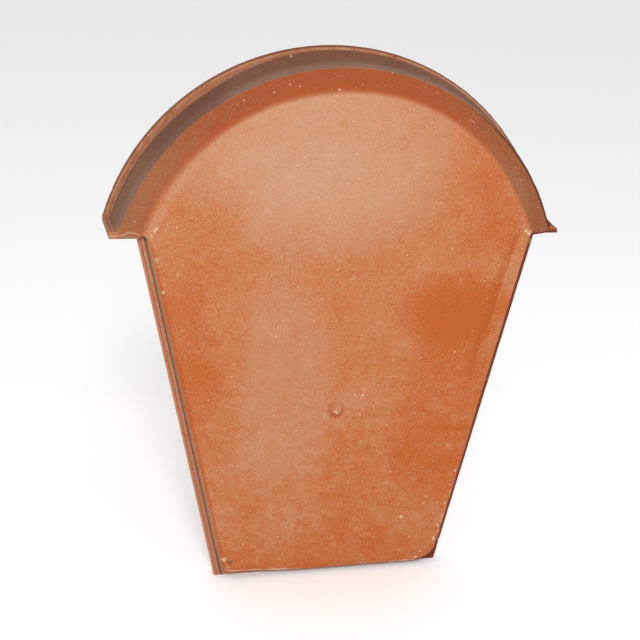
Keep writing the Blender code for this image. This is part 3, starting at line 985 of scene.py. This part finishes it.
# Dirt at the foot's left end, painted shade further on.
foot_dirt_and_shade = mix(smooth(x_mm, -52.0, -68.0), (0.17, 0.03, 0.009), (0.105, 0.056, 0.04))
colour = mix(foot_step * 0.85, colour, foot_dirt_and_shade)
foot_worn = smooth(depth, 0.4, 0.65) * smooth(depth, 1.7, 1.1) * smooth(height, -235.0, -240.0)
foot_worn = foot_worn * limit(smooth(x_mm, -12.0, -40.0) + smooth(x_mm, 38.0, 60.0) + 0.1)
foot_worn = foot_worn * smooth(x_mm, -77.0, -68.0) * smooth(x_mm, 68.0, 62.0)
colour = mix(foot_worn * limit(0.7 + small * 0.9), colour, (0.58, 0.36, 0.21))
print(len(clay.tree.nodes), "nodes")

# %% [markdown]
# ## Inside and back
#
# Nobody sees the inside once the tile is laid. It has the plain colour of the clay, dusty from the sand of
# the press, without film or wear.

# %% Colour of the inside
inside = clay.maths("MAXIMUM", smooth(arch_radius, 141.6, 140.6), smooth(height, -0.4, -0.8))
inside = inside * smooth(depth, 13.9, 14.2)
inside = limit(inside + smooth(depth, 54.3, 54.6))
sand = mix(limit(0.35 + medium * 0.25 + grain * 0.3), (0.36, 0.105, 0.036), (0.43, 0.2, 0.11))
colour = mix(inside, colour, sand)
print("inside mixed in")

# %% [markdown]
# ## Specks and pits
#
# Grains of grog show as pale specks, in a good third of the cells of two Voronoi patterns, and dark pits sit
# in a fifth of the cells of another. Noise bends them, so that no speck is a clean disc.

# %% Specks and pits
def specks(size, share, radius, seed):
    """Small round specks in a share of the cells of a Voronoi pattern."""
    shifted = clay.node("VectorMath", {"operation": "ADD"}, {0: place_mm, 1: (seed * 31.7, seed * 11.3, 0.0)})
    swirl = clay.node("TexNoise", {}, {"Vector": place_mm, "Scale": 0.9, "Detail": 1.0}, 1)
    push = clay.node("VectorMath", {"operation": "SCALE"}, {0: swirl, "Scale": 0.9})
    bent = clay.node("VectorMath", {"operation": "ADD"}, {0: shifted, 1: push})
    cells = {"Vector": bent, "Scale": 1.0 / size, "Randomness": 1.0}
    distance = clay.node("TexVoronoi", {}, cells, "Distance")
    chance, size_chance, _ = parts_of(clay.node("TexVoronoi", {}, cells, "Color"))
    reach = (size_chance * 0.7 + 0.5) * (radius / size)
    return smooth(distance / reach, 1.0, 0.45) * smooth(chance, share, share * 0.9)


outside = 1.0 - inside
pale_specks = limit(specks(2.3, 0.36, 0.44, 1) * 0.5 + specks(5.0, 0.4, 0.6, 2) * 0.85)
colour = mix(pale_specks * outside * (1.0 - wall * 0.6) * 0.85, colour, (0.62, 0.43, 0.3))
pits = specks(9.0, 0.2, 0.85, 3)
colour = mix(pits * outside * 0.75, colour, (0.13, 0.05, 0.028))
print(len(clay.tree.nodes), "nodes")

# %% [markdown]
# ## Worn marks
#
# Bigger marks sit where they do on the real tile: pale rubbed clay at the two shoulders, a row of specks down
# the left edge, chips along the lower right edge, two scratches, and a dark pit at the lower left.

# %% Worn marks
MARKS = [   # x, height, half width, half height, strength of pale rubbed clay
    (-121.0, 8.0, 2.3, 3.2, 0.8), (-123.8, 3.4, 2.0, 2.8, 0.6), (-121.9, -3.7, 1.5, 2.2, 0.6),
    (-120.7, -12.2, 1.7, 2.6, 0.7), (-120.2, -16.8, 1.2, 1.4, 0.6), (-118.4, -26.1, 1.1, 1.3, 0.6),
    (-117.2, -28.8, 1.0, 1.0, 0.5), (-116.6, -33.5, 1.3, 1.5, 0.9), (-76.2, -234.2, 3.0, 2.8, 0.75),
    (66.1, -244.3, 1.9, 1.5, 0.8), (85.0, -235.8, 2.0, 3.6, 0.7), (123.4, 3.8, 2.7, 1.5, 0.8),
    (126.4, 2.4, 2.0, 3.4, 0.8), (128.0, -3.2, 1.5, 4.0, 0.6), (90.2, -174.2, 2.0, 2.6, 0.7),
    (87.0, -185.4, 1.4, 1.9, 0.7), (84.3, -200.0, 1.7, 3.0, 0.7), (80.6, -219.0, 1.6, 3.0, 0.75),
    (78.6, -229.5, 1.8, 3.4, 0.75), (-31.5, 109.7, 1.1, 0.5, 0.95), (-0.5, -122.6, 2.0, 2.0, 0.8),
    (-7.6, -119.5, 1.3, 2.6, 0.5), (18.0, -110.5, 1.4, 1.3, 0.9), (17.0, -113.6, 1.1, 1.2, 0.8),
    (-8.2, 94.9, 1.1, 1.1, 0.8), (52.2, -209.1, 1.9, 1.7, 0.85), (59.1, -226.4, 1.3, 1.2, 0.8),
    (69.0, -239.2, 1.6, 1.2, 0.8), (68.6, -199.5, 1.3, 1.1, 0.7), (60.0, -220.3, 1.1, 1.1, 0.7),
    (69.8, -193.4, 1.1, 1.1, 0.7),
]
SCRATCHES = [(76.4, 80.4, 86.2, 70.2), (114.7, 43.1, 119.3, 32.2)]   # x and height of both ends
PALE_CLAY = (0.62, 0.42, 0.27)
ragged = x_mm + grain * 1.5 + fine_grain * 0.8, height + grain * 1.3 - fine_grain * 0.9
marks = 0.0
for *shape, strength in MARKS:
    marks = clay.maths("MAXIMUM", marks, spot(*shape, *ragged) * strength)
for x1, high1, x2, high2 in SCRATCHES:
    length = math.hypot(x2 - x1, high2 - high1)
    along = ((x_mm - x1) * (x2 - x1) + (height - high1) * (high2 - high1)) / length ** 2
    aside = ((height - high1) * (x2 - x1) - (x_mm - x1) * (high2 - high1)) / length
    scratch = line(aside + small * 0.5 + grain * 0.3, 0.0, 0.9) * line(along, 0.5, 0.62)
    marks = clay.maths("MAXIMUM", marks, scratch * 0.62)
rubbed = line(side_inset + small * 1.1, 7.4, 2.6) * on_right * smooth(depth, 2.0, 1.2)
rubbed = rubbed * line(height, -212.0, 62.0) * limit(0.55 + small * 0.7) * 0.8
marks = clay.maths("MAXIMUM", marks, rubbed)
marks = smooth(marks + grain * 0.3 + fine_grain * 0.22, 0.38, 0.92) * smooth(marks, 0.04, 0.25)
marks = marks * outside * 0.85
colour = mix(marks, colour, PALE_CLAY)
pit = spot(-72.0, -236.4, 3.0, 2.0, *ragged) * smooth(depth, 14.0, 13.0)
colour = mix(pit * 0.7, colour, (0.15, 0.045, 0.02))
print(len(MARKS), "worn marks,", len(clay.tree.nodes), "nodes")

# %% [markdown]
# ## Roughness and relief
#
# Unglazed clay is matt, but where it is rubbed it has a faint sheen. Its fine relief is too small to model:
# open grain at one or two millimetres, pits, and a low orange-peel wave. A Bump node takes care of it.

# %% Roughness and bump
roughness = limit(0.7 + film_and_sheen * 0.08 + wall * 0.08 + grain * 0.07 - marks * 0.08)
relief = grain * 0.32 + fine_grain * 0.14 + small * 0.22 + medium * 0.15 + pale_specks * 0.22 - pits * 1.1
relief = relief - pit * 1.6 - step_foot * 0.4
bump = clay.node("Bump", {}, {"Strength": 0.55, "Distance": 0.00045, "Height": relief})
clay.feed(clay.shader.inputs["Base Color"], colour)
clay.feed(clay.shader.inputs["Roughness"], roughness)
clay.feed(clay.shader.inputs["Normal"], bump)
tile.data.materials.clear()
tile.data.materials.append(clay.material)
print(len(clay.tree.nodes), "nodes in the terracotta")

# %% [markdown]
# ## The floor's finish
#
# The floor is plain matt paper. It is left a flat pale colour on purpose, so that nothing draws the eye from
# the tile.

# %% Floor finish
paper = Paint("pale paper")
paper.feed(paper.shader.inputs["Base Color"], (0.93, 0.93, 0.93, 1.0))
paper.feed(paper.shader.inputs["Roughness"], 0.85)
floor.data.materials.append(paper.material)
print("floor done")

# %% [markdown]
# ## Hand the tile over
#
# Only real corners are shaded sharp. The mesh rides on the root and takes the place of the CAD solid, and its
# clay is one named slot.

# %% Hand the tile over
tile.data.shade_smooth()
tile.data.set_sharp_from_angle(angle=math.radians(38.0))
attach(tile, "root")
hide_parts(TILE)
print("tile handed over:", len(tile.data.polygons), "faces")
